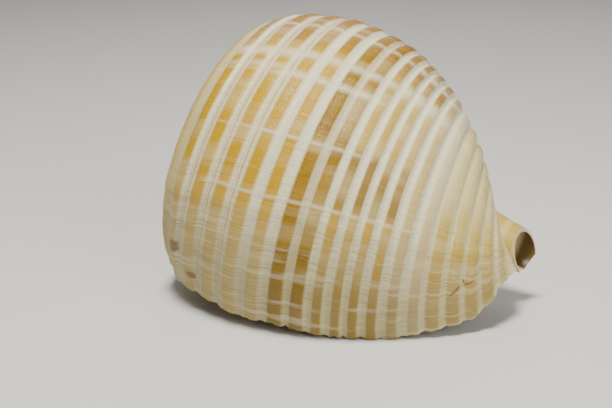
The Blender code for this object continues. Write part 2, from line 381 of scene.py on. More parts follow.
def chips(ribs):
    """Degrees by which the edge is worn back at each rib number: an uneven line with small sharp bites."""
    random = np.random.default_rng(CHIP_SEED)
    grid = np.arange(-SHOULDER_RIBS, RIBS + 2, BITE_STEP)
    bites = random.uniform(0.0, 1.0, len(grid))**4
    coarse = np.arange(-SHOULDER_RIBS, RIBS + 2, UNEVEN_STEP)
    uneven = random.uniform(0.0, 0.9, len(coarse))
    return CHIP_DEPTH * (2.0 * np.interp(ribs, grid, bites) + np.interp(ribs, coarse, uneven))


def growth_relief(turns, ribs):
    """Height in mm of the growth ridges and slow waves, and of the grooves, which are shallower at the lip."""
    grid = np.arange(0.0, 5.0, WAVE_STEP)
    waves = np.random.default_rng(WAVE_SEED).normal(0.0, WAVE_HEIGHT, len(grid))
    height = np.interp(turns, grid, waves)
    for age, half, top, first, last in RIDGES:
        along = smoothstep(first - 0.8, first, ribs) * smoothstep(last + 0.8, last, ribs)
        height = height + top * along * np.clip(1.0 - np.abs(turns - age) / half, 0.0, 1.0)
    raised_grooves = -LIP_FLATTENS * relief(ribs) * smoothstep(LIP_FLAT_ENDS, 0.0, turns)
    return height * smoothstep(19.0, 17.5, ribs) * smoothstep(-3.5, -1.0, ribs) + raised_grooves


print("deepest chip:", round(float(chips(np.linspace(0.0, RIBS, 400)).max()), 2), "degrees")

# %% Move the vertices
def bend(obj, section, ribs, rings):
    """Moves each vertex of a stretch along the spiral to where its growth line lies."""
    turns = np.repeat([turn for turn, _ in rings], len(ribs))
    ribs = np.tile(ribs, len(rings))
    out = np.gradient(section, axis=0)
    out = np.stack([out[:, 1], -out[:, 0]], axis=1) / np.linalg.norm(out, axis=1)[:, None]
    out = np.tile(out, (len(rings), 1)) * growth_relief(turns, ribs)[:, None]
    degrees = setback(turns, ribs) + chips(ribs) * np.clip(1.0 - turns / CHIP_FADES, 0.0, 1.0)
    now = turns + degrees / 360.0
    x, y, z = (coordinates(obj) * (scale_at(now) / scale_at(turns))[:, None]).T
    cos, sin = np.cos(np.radians(degrees)), np.sin(np.radians(degrees))
    set_coordinates(obj, np.stack([x * cos - y * sin, x * sin + y * cos, z], axis=1) + place(out, now))


for solid, (section, ribs, rings) in stretches.items():
    bend(solid, section, ribs, rings)
    close_ends(solid)
edge_vertices = 2 * len(stretches[shell][1])
for polygon in shell.data.polygons:
    if max(polygon.vertices) < edge_vertices:
        polygon.material_index = LIP
print("growth ridges:", len(RIDGES))

# %% [markdown]
# ## The hollow
# The inside of a shell is the same spiral again, a little smaller. Its section follows the outer wall
# at the wall's thickness, turns round the columella (the pillar in the middle), and comes back along
# the whorl before, which carries a thin glaze. It is grown as a solid and cut out with a Boolean.

# %% Hollow section
WALL = 1.0
RIB_SHOWS_INSIDE = 0.55
GROOVE_ROOM = 0.35
GLAZE = 0.45
GLAZE_RIB_SHOWS = 0.6
COLUMELLA = 6.2
CANAL_RADIUS = 1.2
OUTER_RIBS = (-1.5, 19.1)
INNER_RIBS = (18.0, 2.0)
HOLLOW_FIRST = -0.09
HOLLOW_LAST = 1.4
HOLLOW_DEGREES = 4.0
HOLLOW_FINE = 0.2


def wall_points(first_rib, last_rib, per_rib, shows):
    count = round(abs(last_rib - first_rib) * per_rib)
    ribs = np.linspace(first_rib, last_rib, count + 1)
    points, normals = on_outline(np.interp(ribs, rib_numbers, rib_lengths))
    return points, normals, relief(ribs) * shows, ribs


outer, outer_normals, outer_relief, outer_ribs = wall_points(*OUTER_RIBS, 6, RIB_SHOWS_INSIDE)
outer = outer + outer_normals * (outer_relief - WALL - RIB_RELIEF * GROOVE_ROOM)[:, None]
inner, inner_normals, inner_relief, inner_ribs = wall_points(*INNER_RIBS, 4, GLAZE_RIB_SHOWS)
inner = inner / BODY_EXPANSION + inner_normals * (GLAZE + inner_relief)[:, None]
pillar_side = np.array([
    (8.2, 103.4), (8.0, 99.0), (3.0, 98.6), (CANAL_RADIUS, 95.5), (CANAL_RADIUS, 90.0), (3.6, 86.5),
    (5.4, 83.0), (COLUMELLA, 78.0), (COLUMELLA, 70.0), (COLUMELLA + 0.8, 65.5),
])
hollow_section = np.vstack([outer, pillar_side, inner])
hollow_ribs = np.concatenate([outer_ribs, np.full(len(pillar_side), RIBS + 1.0), inner_ribs])
print("hollow section:", len(hollow_section), "points")

# %% Grow the hollow
hollow_turns = np.concatenate([turns_between(HOLLOW_FIRST, HOLLOW_FINE, HOLLOW_DEGREES / 2)[:-1],
                               turns_between(HOLLOW_FINE, HOLLOW_LAST, HOLLOW_DEGREES)])
hollow_rings = [(float(turn), FULL) for turn in hollow_turns]
hollow = grow("hollow", hollow_section, hollow_ribs, hollow_rings, INSIDE)


def fit_glaze(obj, section, first_inner, turns):
    """Draws the glazed side in below the suture, because the whorl before shrinks faster than the body."""
    co = coordinates(obj).reshape(len(turns), len(section), 3)
    ratio = (BODY_EXPANSION * scale_at(turns + 1.0) / scale_at(turns))[:, None]
    below = smoothstep(3.0, 8.0, inner_ribs)[None, :]
    co[:, first_inner:] *= (1.0 + (ratio - 1.0) * below)[:, :, None]
    set_coordinates(obj, co)


fit_glaze(hollow, hollow_section, len(outer) + len(pillar_side), hollow_turns)
print("hollow:", len(hollow.data.polygons), "faces")

# %% [markdown]
# ## The spout
# At its lower end the tube narrows to a short spout for the snail's siphon: a cone beside the axis
# with a bore, a slanted thin rim and a slot that runs into the aperture. A curve with a bevel could
# make the tube, but the thin rim comes from two cones and a slanted block.

# %% Cones and blocks
SPOUT_OFFSET = 3.2
SPOUT_TOP = 68.0
SPOUT_END = 99.9
SPOUT_END_RADIUS = 5.6
SPOUT_FLARE = 0.115
BORE_RADIUS = 5.1
BORE_TOP = 76.0
FUNNEL = 12.0
BEYOND = 8.0
RIM_SLANT = (0.43, 0.38)
BEVEL_BACK = 2.2
SLOT_WIDTH = 5.0
SLOT_TOP = 78.0
SLOT_ANGLE = -4.0
SLOT_LEANS = 20.0
SPOUT_RIB_PITCH = 4.2
SPOUT_FIRST_RIB = 95.4
BLOCK_RIB = 18.5
ROUND_SIDES = 72
BORE_TAPER = (0.9, -0.65)
FUNNEL_TIP = 0.5
PILLAR_SPAN = (5.0, 96.0)
PILLAR_RADII = (3.0, 4.0)


def add_cone(name, top, end, top_radius, end_radius, offset, slot_index):
    """A cone beside the axis with rings along it, from one distance below the pole to another."""
    bpy.ops.object.select_all(action="DESELECT")
    middle = (-offset * MM, 0.0, -(top + end) / 2 * MM)
    bpy.ops.mesh.primitive_cone_add(vertices=ROUND_SIDES, radius1=end_radius * MM, radius2=top_radius * MM,
                                    depth=(end - top) * MM, end_fill_type="NGON", location=middle)
    cone = bpy.context.object
    cone.name = name
    bpy.ops.object.transform_apply(location=True, rotation=True, scale=True)
    co = coordinates(cone) / MM
    around = np.arctan2(co[:, 1], co[:, 0] + offset) / math.tau
    write_growth_map(cone, around, 18.0 - (co[:, 2] + SPOUT_FIRST_RIB) / SPOUT_RIB_PITCH)
    give_slots(cone, slot_index)
    return cone


def add_block(name, low, high, slot_index):
    """A block between two corners, in millimetres."""
    bpy.ops.object.select_all(action="DESELECT")
    size = Vector(high) - Vector(low)
    bpy.ops.mesh.primitive_cube_add(size=1.0, location=(Vector(high) + Vector(low)) / 2 * MM, scale=size * MM)
    block = bpy.context.object
    block.name = name
    bpy.ops.object.transform_apply(location=True, rotation=True, scale=True)
    corners = len(block.data.vertices)
    write_growth_map(block, np.zeros(corners), np.full(corners, BLOCK_RIB))
    give_slots(block, slot_index)
    return block


print("spout:", SPOUT_END - SPOUT_TOP, "mm long beside the axis")

# %% Spout solids
flare = SPOUT_FLARE * (SPOUT_END - SPOUT_TOP)
horn = add_cone("horn", SPOUT_TOP, SPOUT_END + BEYOND, SPOUT_END_RADIUS + flare,
                SPOUT_END_RADIUS - SPOUT_FLARE * BEYOND, SPOUT_OFFSET, SPOUT)
pillar = add_cone("pillar", *PILLAR_SPAN, *PILLAR_RADII, 0.0, INSIDE)
wide, narrow = (BORE_RADIUS + taper for taper in BORE_TAPER)
bore = add_cone("bore", BORE_TOP, SPOUT_END + 2 * BEYOND, wide, narrow, SPOUT_OFFSET, INSIDE)
funnel = add_cone("funnel", BORE_TOP - FUNNEL, BORE_TOP + HAIR, FUNNEL_TIP, wide, SPOUT_OFFSET, INSIDE)
print("spout radius at its end:", SPOUT_END_RADIUS, "mm, bore:", round(wide, 2), "to", round(narrow, 2), "mm")

# %% Spout cutters
TRIM_AT = (0.0, 120.0, 240.0)
BEVEL_AT = (262.0, 18.0, 310.0)
CUTTER_HALF = 60.0
CUTTER_DEEP = 40.0
SLOT_REACH = 14.0


def rim_point(degrees, radius=SPOUT_END_RADIUS, back=0.0):
    """A point of the slanted rim at this angle round the spout, or further back along the spout."""
    angle = math.radians(degrees)
    x, y = radius * math.cos(angle), radius * math.sin(angle)
    return Vector((x - SPOUT_OFFSET, y, -SPOUT_END - RIM_SLANT[0] * x + RIM_SLANT[1] * y + back)) * MM


def add_cutter_at(name, first, second, third):
    """A large block that lies beyond the plane of three points, seen down the axis."""
    block = add_block(name, (-CUTTER_HALF, -CUTTER_HALF, -CUTTER_DEEP), (CUTTER_HALF, CUTTER_HALF, 0.0), LIP)
    normal = (second - first).cross(third - first).normalized()
    normal = normal if normal.z > 0.0 else -normal
    turn = normal.to_track_quat("Z", "Y").to_matrix().to_4x4()
    block.data.transform(Matrix.Translation(first) @ turn)
    return block


trim = add_cutter_at("trim", *map(rim_point, TRIM_AT))
bevel = add_cutter_at("bevel", rim_point(BEVEL_AT[0]), rim_point(BEVEL_AT[1]),
                      rim_point(BEVEL_AT[2], back=BEVEL_BACK))
slot = add_block("slot", (-SPOUT_OFFSET, -SLOT_WIDTH / 2, -SPOUT_END - BEYOND),
                 (SLOT_REACH, SLOT_WIDTH / 2, -SLOT_TOP), LIP)
mouth = Matrix.Translation((-SPOUT_OFFSET * MM, 0.0, -SPOUT_END * MM))
lean = Matrix.Rotation(math.radians(SLOT_ANGLE), 4, "Z") @ Matrix.Rotation(math.radians(SLOT_LEANS), 4, "Y")
slot.data.transform(mouth @ lean @ mouth.inverted())
print("cutters of the spout:", [cutter.name for cutter in (trim, bevel, slot)])

# %% [markdown]
# ## Join and cut
# All the solids are closed and none crosses itself, so Blender's manifold Boolean joins and cuts them
# in a moment, and it drops every wall that is buried inside. It carries the growth map along.

# %% Booleans
def apply_boolean(target, other, operation):
    modifier = target.modifiers.new(other.name, "BOOLEAN")
    modifier.operation = operation
    modifier.solver = "MANIFOLD"
    modifier.object = other
    make_active(target)
    bpy.ops.object.modifier_apply(modifier=modifier.name)
    bpy.data.objects.remove(other)


for cutter in (trim, bevel, slot):
    apply_boolean(horn, cutter, "DIFFERENCE")
for solid in (*list(stretches)[1:], pillar, horn):
    apply_boolean(shell, solid, "UNION")
for cutter in (hollow, bore, funnel):
    apply_boolean(shell, cutter, "DIFFERENCE")
print("joined shell:", len(shell.data.polygons), "faces")

# %% [markdown]
# ## Lay it down
# The shell lies with its aperture down. The pose goes into the mesh, and a block the size of a table
# takes off the small flat that wear has ground on the belly.

# %% Rest pose
AXIS_TILT = 17.05
AXIS_ROLL = -163.44
POLE = Vector((-49.0, 5.84, 41.35)) * MM
TABLE_HALF = 150.0
TABLE_DEEP = 60.0
SMOOTH_UNDER = 38.0

tilt = Matrix.Rotation(math.radians(AXIS_TILT - 90.0), 4, "Y")
pose = tilt @ Matrix.Rotation(math.radians(AXIS_ROLL), 4, "Z")
shell.data.transform(Matrix.Translation(POLE) @ pose)
table = add_block("table", (-TABLE_HALF, -TABLE_HALF, -TABLE_DEEP), (TABLE_HALF, TABLE_HALF, 0.0), OUTSIDE)
apply_boolean(shell, table, "DIFFERENCE")
bpy.ops.object.shade_smooth_by_angle(angle=math.radians(SMOOTH_UNDER))
triangles = sum(len(polygon.vertices) - 2 for polygon in shell.data.polygons)
print("shell:", len(shell.data.polygons), "faces,", triangles, "triangles")

# %% [markdown]
# ## Nodes in plain functions
# The colours of this shell are laid down by its growth: bands run along the ribs and lines run across
# them. A painted image could hold them, but they follow from two numbers, the age and the rib, that
# the growth map already gives. A few small functions make the node graphs short to write.

# %% Numbers and masks
def feed(tree, socket, value):
    if isinstance(value, bpy.types.NodeSocket):
        tree.links.new(value, socket)
    else:
        socket.default_value = value


def calc(tree, operation, *values):
    node = tree.nodes.new("ShaderNodeMath")
    node.operation = operation
    for socket, value in zip(node.inputs, values):
        feed(tree, socket, value)
    return node.outputs[0]


def step(tree, value, low, high, start=0.0, end=1.0):
    """A smooth step from start to end while the value goes from low to high."""
    node = tree.nodes.new("ShaderNodeMapRange")
    node.interpolation_type = "SMOOTHSTEP"
    names = ("Value", "From Min", "From Max", "To Min", "To Max")
    for name, given in zip(names, (value, low, high, start, end)):
        feed(tree, node.inputs[name], given)
    return node.outputs[0]


def window(tree, value, low, high, soft):
    """One between low and high, and nothing beyond a soft edge on each side."""
    rise = step(tree, value, low - soft, low)
    return calc(tree, "MULTIPLY", rise, step(tree, value, high, high + soft, 1.0, 0.0))


def stripe(tree, value, centre, half):
    """One on the centre line, and nothing at half a width from it or further off."""
    off = calc(tree, "ABSOLUTE", calc(tree, "SUBTRACT", value, centre))
    return step(tree, off, 0.0, half, 1.0, 0.0)


print("mask helpers ready")

# %% Noise and colours
# Sockets of the Mix node: (factor, first, second, result) for each kind.
MIX_SOCKETS = {"RGBA": (0, 6, 7, 2), "FLOAT": (0, 2, 3, 0)}


def noise(tree, x, y, z=0.0, detail=2.0, roughness=0.5):
    """Noise from 0 to 1 at a point that is given by three numbers."""
    point = tree.nodes.new("ShaderNodeCombineXYZ")
    for socket, value in zip(point.inputs, (x, y, z)):
        feed(tree, socket, value)
    node = tree.nodes.new("ShaderNodeTexNoise")
    node.inputs["Scale"].default_value = 1.0
    node.inputs["Detail"].default_value = detail
    node.inputs["Roughness"].default_value = roughness
    tree.links.new(point.outputs[0], node.inputs["Vector"])
    return node.outputs["Fac"]


def mix(tree, factor, first, second, kind="RGBA"):
    """The first colour where the factor is 0, the second where it is 1."""
    node = tree.nodes.new("ShaderNodeMix")
    node.data_type = kind
    *inputs, output = MIX_SOCKETS[kind]
    for index, value in zip(inputs, (factor, first, second)):
        feed(tree, node.inputs[index], value)
    return node.outputs[output]


def paint(red, green, blue):
    """A colour socket's value from the usual numbers of 0 to 255."""
    def linear(part):
        part /= 255.0
        return part / 12.92 if part <= 0.04045 else ((part + 0.055) / 1.055)**2.4
    return (linear(red), linear(green), linear(blue), 1.0)


print("middle grey in linear light:", round(paint(128, 128, 128)[0], 3))

# %% Sums and groups
def total(tree, *values):
    result = values[0]
    for value in values[1:]:
        result = calc(tree, "ADD", result, value)
    return result


def product(tree, *values):
    result = values[0]
    for value in values[1:]:
        result = calc(tree, "MULTIPLY", result, value)
    return result


def new_group(name, inputs, outputs):
    """(tree, input sockets by name, output sockets by name) of an empty node group."""
    tree = bpy.data.node_groups.new(name, "ShaderNodeTree")
    for title in inputs:
        tree.interface.new_socket(title, in_out="INPUT", socket_type="NodeSocketFloat")
    for title in outputs:
        tree.interface.new_socket(title, in_out="OUTPUT", socket_type="NodeSocketFloat")
    start = tree.nodes.new("NodeGroupInput")
    end = tree.nodes.new("NodeGroupOutput")
    return tree, start.outputs, end.inputs


def place_group(tree, group, **values):
    node = tree.nodes.new("ShaderNodeGroup")
    node.node_tree = group
    for name, value in values.items():
        feed(tree, node.inputs[name], value)
    return node.outputs


print("node helpers ready")

# %% [markdown]
# ## Growth lines as a group
# Every surface of the shell was once an edge, so all its materials share the same fine growth lines.
# They come from noise that is stretched along the rib: it changes quickly with age and slowly with
# the rib. The strong ridges that stand up in the mesh get their white from the same list.

# %% Growth line group
FINE_PER_TURN = 760.0
BROAD_PER_TURN = 150.0
LINES_WANDER = 0.003
growth_lines, given, result = new_group("growth_lines", ["Age", "Rib"], ["Fine", "Broad", "Ridge"])
t, rib = growth_lines, given["Rib"]
wander = noise(t, product(t, given["Age"], 9.0), product(t, rib, 0.5))
age = total(t, given["Age"], product(t, calc(t, "SUBTRACT", wander, 0.5), LINES_WANDER))
feed(t, result["Fine"], noise(t, product(t, age, FINE_PER_TURN), product(t, rib, 0.45), 2.0, 3.0, 0.6))
feed(t, result["Broad"], noise(t, product(t, age, BROAD_PER_TURN), product(t, rib, 0.22), 7.0, 2.0))
ridge = 0.0
for centre, half, _, first, last in RIDGES:
    raised = product(t, stripe(t, age, centre, half), window(t, rib, first, last, 0.8))
    ridge = calc(t, "MAXIMUM", ridge, raised)
feed(t, result["Ridge"], ridge)
print("growth lines:", len(t.nodes), "nodes")

# %% [markdown]
# ## Bands of pigment as a group
# Each rib carries an ochre band on its crest, broken into blocks where the snail paused. Next to the
# shoulder thin lines of the same ochre run in the grooves. The bands fade towards the lip and the
# base. One group gives the masks, and the outside and the inside mix their own colours with them.
# In all these masks the numbers beside `rib` are rib numbers, counted from the shoulder, and those
# beside `age` are turns behind the lip.

# %% Rib band group
BAND_HALF = 0.25
BAND_SOFT = 0.075
BAND_MASKS = ["Crest", "Thread", "Strength", "Dark", "Pause"]
rib_bands, given, result = new_group("rib_bands", ["Age", "Rib"], BAND_MASKS)
t = rib_bands
age, rib = given["Age"], given["Rib"]
shift = total(t, product(t, window(t, rib, 1.6, 4.6, 0.3), -0.07), step(t, rib, 12.7, 13.6, 0.0, 0.12))
wobble = calc(t, "SUBTRACT", noise(t, product(t, age, 38.0), product(t, rib, 2.5), 1.0), 0.5)
centred = total(t, rib, shift, product(t, wobble, 0.07), 0.5)
off = calc(t, "ABSOLUTE", calc(t, "SUBTRACT", calc(t, "FRACT", centred), 0.5))
gold_wider = product(t, window(t, rib, 5.55, 7.45, 0.1), 0.06)
half_width = total(t, BAND_HALF, gold_wider, step(t, rib, 12.6, 13.6, 0.0, 0.06))
inner_edge = calc(t, "SUBTRACT", half_width, BAND_SOFT)
outer_edge = total(t, half_width, BAND_SOFT)
crest = product(t, step(t, off, inner_edge, outer_edge, 1.0, 0.0), step(t, rib, 17.25, 17.4, 1.0, 0.0))
base_band = product(t, window(t, rib, 17.8, 18.65, 0.12), 0.6)
feed(t, result["Crest"], calc(t, "MAXIMUM", crest, base_band))
fraction = calc(t, "FRACT", rib)
thread = calc(t, "MAXIMUM", stripe(t, fraction, 0.6, 0.085), product(t, stripe(t, fraction, 0.43, 0.05), 0.6))
feed(t, result["Thread"], product(t, thread, window(t, rib, 1.2, 3.95, 0.05)))
print("rib band edges:", len(t.nodes), "nodes")

# %% Rib band group: pauses
number = calc(t, "ROUND", rib)
own = noise(t, product(t, age, 34.0), product(t, number, 5.37), 4.0, 1.5)
shared = noise(t, product(t, age, 17.0), product(t, rib, 0.05), 11.0, 1.0)
old = step(t, age, 0.33, 0.37)
# (age, half width, first rib, last rib, depth) of each pause, where the pigment stops for a while.
PAUSES = [(0.1125, 0.003, 2.5, 12.5, 0.35), (0.1625, 0.003, 3.6, 8.6, 0.4), (0.219, 0.007, 3.6, 7.4, 0.6),
          (0.225, 0.006, 0.5, 3.0, 0.45), (0.244, 0.011, 0.5, 3.6, 0.75), (0.245, 0.009, 3.6, 8.6, 0.7),
          (0.246, 0.018, 8.6, 14.0, 0.85), (0.296, 0.007, 1.4, 9.0, 0.35), (0.297, 0.013, 9.0, 14.0, 0.7)]
pause = product(t, old, step(t, shared, 0.55, 0.63), 0.85)
for centre, half, first, last, depth in PAUSES:
    band = product(t, stripe(t, age, centre, half), window(t, rib, first, last, 0.5), depth)
    pause = calc(t, "MAXIMUM", pause, band)
feed(t, result["Pause"], pause)
print("pauses of the pigment:", len(PAUSES))

# %% Rib band group: strength
gold_ribs = window(t, rib, 5.6, 7.4, 0.2)
low_ribs = step(t, rib, 7.4, 8.0)
young = mix(t, gold_ribs, step(t, age, 0.0, 0.13, 0.35, 1.0), step(t, age, 0.0, 0.06, 0.8, 1.0), "FLOAT")
young = mix(t, product(t, low_ribs, 0.6), young, 0.9, "FLOAT")
to_shoulder = step(t, rib, 0.35, 0.7, 0.3, 1.0)
middle_pale = product(t, window(t, rib, 7.7, 12.6, 0.2), window(t, age, 0.19, 0.225, 0.03),
                      step(t, rib, 9.0, 11.5, 0.08, 0.3))
thirteenth = product(t, window(t, rib, 12.6, 13.5, 0.2), step(t, age, 0.1, 0.2, 0.35, 0.75))
twelfth = product(t, window(t, rib, 11.6, 12.4, 0.1), 0.3)
base_pale = product(t, step(t, rib, 13.2, 13.7), window(t, age, 0.18, 0.27, 0.08), 0.65)
less = calc(t, "MAXIMUM", calc(t, "MAXIMUM", middle_pale, thirteenth), calc(t, "MAXIMUM", base_pale, twelfth))
grown = product(t, young, to_shoulder, calc(t, "SUBTRACT", 1.0, less), step(t, own, 0.32, 0.55, 0.75, 1.0))
feed(t, result["Strength"], product(t, grown, calc(t, "SUBTRACT", 1.0, pause)))
young_dark = product(t, window(t, age, 0.118, 0.163, 0.008), window(t, rib, 7.5, 11.2, 0.3), 0.9)
old_dark = product(t, step(t, age, 0.25, 0.27, 0.0, 0.7), window(t, rib, 0.6, 12.4, 0.4))
dark = calc(t, "MAXIMUM", calc(t, "MAXIMUM", young_dark, old_dark), product(t, gold_ribs, 0.9))
feed(t, result["Dark"], product(t, dark, step(t, own, 0.35, 0.6, 0.6, 1.0)))
print("rib bands:", len(t.nodes), "nodes")

# %% [markdown]
# ## The materials
# Four finishes meet on this one piece: the banded outside, the glossy inside, the spout with its
# crosswise bands, and the chalky broken edge. All are one Principled shader each. A layered glaze
# could be a second shader, but a low coat on the first does the same and is easy to export.

# %% Material helpers
COAT_ROUGHNESS = 0.22


def new_material(name, roughness, specular, coat):
    """(tree, shader node, age socket, rib socket) of an empty material."""
    material = bpy.data.materials.new(name)
    material.use_nodes = True
    tree = material.node_tree
    shader = tree.nodes["Principled BSDF"]
    shader.inputs["Roughness"].default_value = roughness
    shader.inputs["Specular IOR Level"].default_value = specular
    shader.inputs["Coat Weight"].default_value = coat
    shader.inputs["Coat Roughness"].default_value = COAT_ROUGHNESS
    growth = tree.nodes.new("ShaderNodeUVMap")
    growth.uv_map = "growth"
    parts = tree.nodes.new("ShaderNodeSeparateXYZ")
    tree.links.new(growth.outputs[0], parts.inputs[0])
    return tree, shader, parts.outputs[0], parts.outputs[1]


def set_bump(tree, shader, height, distance):
    bump = tree.nodes.new("ShaderNodeBump")
    bump.inputs["Distance"].default_value = distance
    tree.links.new(height, bump.inputs["Height"])
    tree.links.new(bump.outputs[0], shader.inputs["Normal"])


print("every material reads the age and the rib from the growth map")

# %% [markdown]
# ## The outside
# The wall is cream, warmer towards the base and duller by the suture, under bands of ochre that are
# darker on the older ribs. By the lip the colour is worn and also darkened with painted shade: its
# crests are brown and its grooves drab. Vertex colours could hold this, but the thin lines are finer
# than the mesh, so masks mix a few plain colours.

# %% Outside: ground and bands
CREAM = paint(224, 216, 184)
BELLY_CREAM = paint(222, 217, 184)
BASE_CREAM = paint(222, 211, 160)
SUTURE_CREAM = paint(198, 182, 126)
OCHRE = paint(186, 146, 8)
DARK_OCHRE = paint(134, 99, 0)
OLD_OCHRE = paint(152, 108, 10)
BASE_OCHRE = paint(184, 154, 44)

t, shader, age, rib = new_material("shell_outside", 0.4, 0.2, 0.0)
lines = place_group(t, growth_lines, Age=age, Rib=rib)
bands = place_group(t, rib_bands, Age=age, Rib=rib)
ground = mix(t, window(t, rib, 4.3, 12.6, 0.4), CREAM, BELLY_CREAM)
ground = mix(t, step(t, rib, 12.5, 14.5), ground, BASE_CREAM)
ground = mix(t, step(t, rib, 0.3, 0.9, 1.0, 0.0), ground, SUTURE_CREAM)
ochre = mix(t, bands["Dark"], OCHRE, DARK_OCHRE)
ochre = mix(t, product(t, step(t, age, 0.26, 0.29), 0.8), ochre, OLD_OCHRE)
at_base = product(t, step(t, rib, 12.4, 13.6), step(t, age, 0.24, 0.32, 1.0, 0.25))
ochre = mix(t, at_base, ochre, BASE_OCHRE)
covered = product(t, bands["Crest"], bands["Strength"])
covered = calc(t, "MAXIMUM", covered, product(t, bands["Thread"], bands["Strength"], 0.7))
between = product(t, window(t, rib, 6.3, 6.7, 0.05), bands["Strength"], 0.4)
colour = mix(t, calc(t, "MAXIMUM", covered, between), ground, ochre)
print("outside with its bands:", len(t.nodes), "nodes")

# %% Outside: worn and shaded lip
WORN_AND_SHADED_SHOULDER_GROOVE = paint(168, 158, 116)
WORN_AND_SHADED_GROOVE = paint(176, 164, 112)
WORN_AND_SHADED_SHOULDER_CREST = paint(166, 144, 74)
WORN_AND_SHADED_CREST = paint(112, 88, 26)
WORN_AND_SHADED_BASE_CREST = paint(132, 112, 72)

# Near the lip the colours are darker: partly real wear, partly painted shade.
near_lip = product(t, step(t, age, 0.025, 0.12, 1.0, 0.0), window(t, rib, -3.0, 18.0, 0.5))
worn_and_shaded_groove = mix(t, step(t, rib, 4.0, 7.0), WORN_AND_SHADED_SHOULDER_GROOVE, WORN_AND_SHADED_GROOVE)
worn_and_shaded_crest = mix(t, step(t, rib, 5.0, 5.8), WORN_AND_SHADED_SHOULDER_CREST, WORN_AND_SHADED_CREST)
worn_and_shaded_crest = mix(t, step(t, rib, 11.0, 13.0), worn_and_shaded_crest, WORN_AND_SHADED_BASE_CREST)
worn_and_shaded = mix(t, bands["Crest"], worn_and_shaded_groove, worn_and_shaded_crest)
colour = mix(t, product(t, near_lip, step(t, rib, 11.5, 13.5, 0.72, 0.55)), colour, worn_and_shaded)
print("outside with its worn lip:", len(t.nodes), "nodes")

# %% Outside: growth lines and polish
LINE_BROWN = paint(150, 116, 50)
LINE_CREAM = paint(228, 221, 190)
RIDGE_CREAM = paint(232, 226, 198)

dense = product(t, step(t, lines["Fine"], 0.48, 0.62), step(t, age, 0.05, 0.16, 0.5, 0.14))
colour = mix(t, dense, colour, LINE_BROWN)
pale = product(t, step(t, lines["Broad"], 0.52, 0.66), step(t, age, 0.03, 0.12, 0.32, 0.08))
colour = mix(t, pale, colour, LINE_CREAM)
colour = mix(t, product(t, lines["Ridge"], 0.28), colour, RIDGE_CREAM)
polish = noise(t, product(t, age, 60.0), product(t, rib, 1.6), 5.0, 2.0)
gloss = step(t, polish, 0.35, 0.65, 0.17, 0.32)
feed(t, shader.inputs["Roughness"], total(t, gloss, product(t, near_lip, 0.3)))
print("outside with its growth lines:", len(t.nodes), "nodes")

# %% [markdown]
# ## Stains and grain
# Brown stains and a short crack mark the old lip. Each could be a decal, but a stain is only a blurred
# ellipse in age and rib with a ragged edge, so a list of ellipses does. The grain of the wall is a
# bump: growth lines, stains that lie a little lower, and fine pits.

# %% Outside: stains and grain
# (age, half length, rib, half width, ribs that it climbs in a turn) of each stain or crack near the lip.
STAINS = [
    (0.046, 0.010, 1.1, 0.4, 0.0), (0.021, 0.006, 2.25, 0.28, 0.0), (0.052, 0.009, 15.0, 0.13, 38.0),
    (0.058, 0.0045, 15.72, 0.15, 60.0), (0.061, 0.005, 15.5, 0.07, 0.0),
]
STAIN_BROWN = paint(112, 82, 28)
STAIN_STRENGTH = 0.75
OUTSIDE_GRAIN = 0.0002

ragged = calc(t, "SUBTRACT", noise(t, product(t, age, 160.0), product(t, rib, 4.0), 2.0, 3.0), 0.5)
stain = 0.0
for centre, long, number, wide, climb in STAINS:
    level = total(t, rib, product(t, calc(t, "SUBTRACT", age, centre), -climb), -number)
    across = calc(t, "DIVIDE", level, wide)
    along = calc(t, "DIVIDE", calc(t, "SUBTRACT", age, centre), long)
    away = total(t, product(t, across, across), product(t, along, along), product(t, ragged, 2.6))
    stain = calc(t, "MAXIMUM", stain, step(t, away, 0.2, 0.9, STAIN_STRENGTH, 0.0))
feed(t, shader.inputs["Base Color"], mix(t, stain, colour, STAIN_BROWN))
pitted = noise(t, product(t, age, 700.0), product(t, rib, 14.0), 3.0, 2.0)
height = total(t, product(t, lines["Fine"], 0.5), product(t, lines["Broad"], 0.4), product(t, stain, -0.8),
               product(t, pitted, 0.9))
set_bump(t, shader, height, OUTSIDE_GRAIN)
print("outside:", len(t.nodes), "nodes,", len(STAINS), "stains")

# %% [markdown]
# ## The inside
# A thin glaze covers the inside, so it is pinker than the outside, and the bands only shine through
# it. Deeper in, it turns to tan, and the throat by the spout is painted dark brown as shade. Light
# that passes through the wall could give that depth, but it is slow and noisy, so the colour simply
# follows the age.

# %% Inside
GLAZE_CREAM = paint(226, 208, 172)
GLAZE_BAND = paint(198, 160, 100)
DEEP_TAN = paint(204, 170, 116)
THROAT_SHADE_BROWN = paint(86, 64, 0)
GLAZE_LINE = paint(226, 214, 190)
INSIDE_GRAIN = 0.00006

t, shader, age, rib = new_material("shell_inside", 0.34, 0.4, 0.1)
lines = place_group(t, growth_lines, Age=age, Rib=rib)
bands = place_group(t, rib_bands, Age=age, Rib=rib)
inside = mix(t, product(t, bands["Crest"], 0.45), GLAZE_CREAM, GLAZE_BAND)
inside = mix(t, product(t, step(t, age, 0.02, 0.5), 0.8), inside, DEEP_TAN)
# The throat by the spout is painted dark brown: painted shade deep in the recess.
throat_shade = step(t, rib, 18.0, 18.6)
inside = mix(t, product(t, throat_shade, 0.95), inside, THROAT_SHADE_BROWN)
milky = product(t, step(t, lines["Broad"], 0.5, 0.7), step(t, rib, 17.5, 18.0, 0.2, 0.0))
inside = mix(t, milky, inside, GLAZE_LINE)
feed(t, shader.inputs["Base Color"], inside)
set_bump(t, shader, total(t, lines["Broad"], product(t, lines["Fine"], 0.3)), INSIDE_GRAIN)
print("inside:", len(t.nodes), "nodes")

